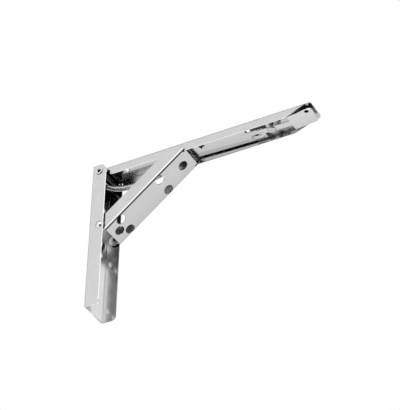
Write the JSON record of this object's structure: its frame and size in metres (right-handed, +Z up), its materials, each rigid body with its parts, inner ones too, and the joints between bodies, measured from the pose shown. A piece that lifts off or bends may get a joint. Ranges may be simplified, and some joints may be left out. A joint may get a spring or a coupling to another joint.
{
  "type": "folding shelf bracket",
  "caption": "Folding shelf bracket of pressed stainless sheet: wall plate, fold-down shelf arm, and a perforated brace that runs in the arm, with a lever-released lock",
  "frame": {"origin": "on the wall, at mid-width of the wall plate, level with the arm's top face", "axes": "+X out from the wall along the raised arm, +Y across the bracket, +Z up"},
  "size_m": [0.3, 0.0456, 0.2103],
  "materials": {
    "sheet": "fine brushed stainless sheet",
    "bright": "bright stainless",
    "plain": "plain stainless",
    "spring": "drawn spring wire"
  },
  "bodies": {
    "wall": {"wall_plate": "sheet", "arm_pivot_rivet": "bright", "arm_pivot_sleeve": "plain", "arm_spacer_near": "plain", "arm_spacer_far": "plain", "brace_rivet_near": "bright", "brace_rivet_far": "bright", "brace_washer_near": "plain", "brace_washer_far": "plain", "spring_anchor_pin": "bright", "counter_spring": "spring"},
    "shelf_arm": {"arm": "sheet", "fulcrum_stud": "bright", "lever_spring": "spring"},
    "strut": {"brace": "sheet", "tip_yoke": "plain", "slider_pin": "bright"},
    "slider": {"slider_saddle": "plain"},
    "lever": {"lock_plate": "plain", "release_lever": "bright", "lever_rivet_inner": "bright", "lever_rivet_outer": "bright"}
  },
  "joints": [
    {"name": "arm_fold", "type": "hinge", "parent": "wall", "child": "shelf_arm", "pos_m": [0.0096, 0, -0.006], "axis": [0, 1, 0], "range_deg": [0, 90], "deforming": ["counter_spring"]},
    {"name": "brace_fold", "type": "hinge", "parent": "wall", "child": "strut", "pos_m": [0.0142, 0, -0.09], "axis": [0, 1, 0], "range_deg": [0, 129]},
    {"name": "slider_slide", "type": "slide", "parent": "shelf_arm", "child": "slider", "axis": [1, 0, 0], "range_m": [0, 0.10404]},
    {"name": "lever_press", "type": "hinge", "parent": "shelf_arm", "child": "lever", "pos_m": [0.2405, 0, -0.00843], "axis": [0, -1, 0], "range_deg": [0, 1.8], "stiffness_Nm_per_rad": 0.3, "springref_deg": -5.73, "deforming": ["lever_spring"]}
  ],
  "couplings": [
    {"joint": "brace_fold", "follows": "arm_fold", "ratio": 1.4331},
    {"joint": "slider_slide", "follows": "arm_fold", "m_per_rad": 0.066227}
  ]
}
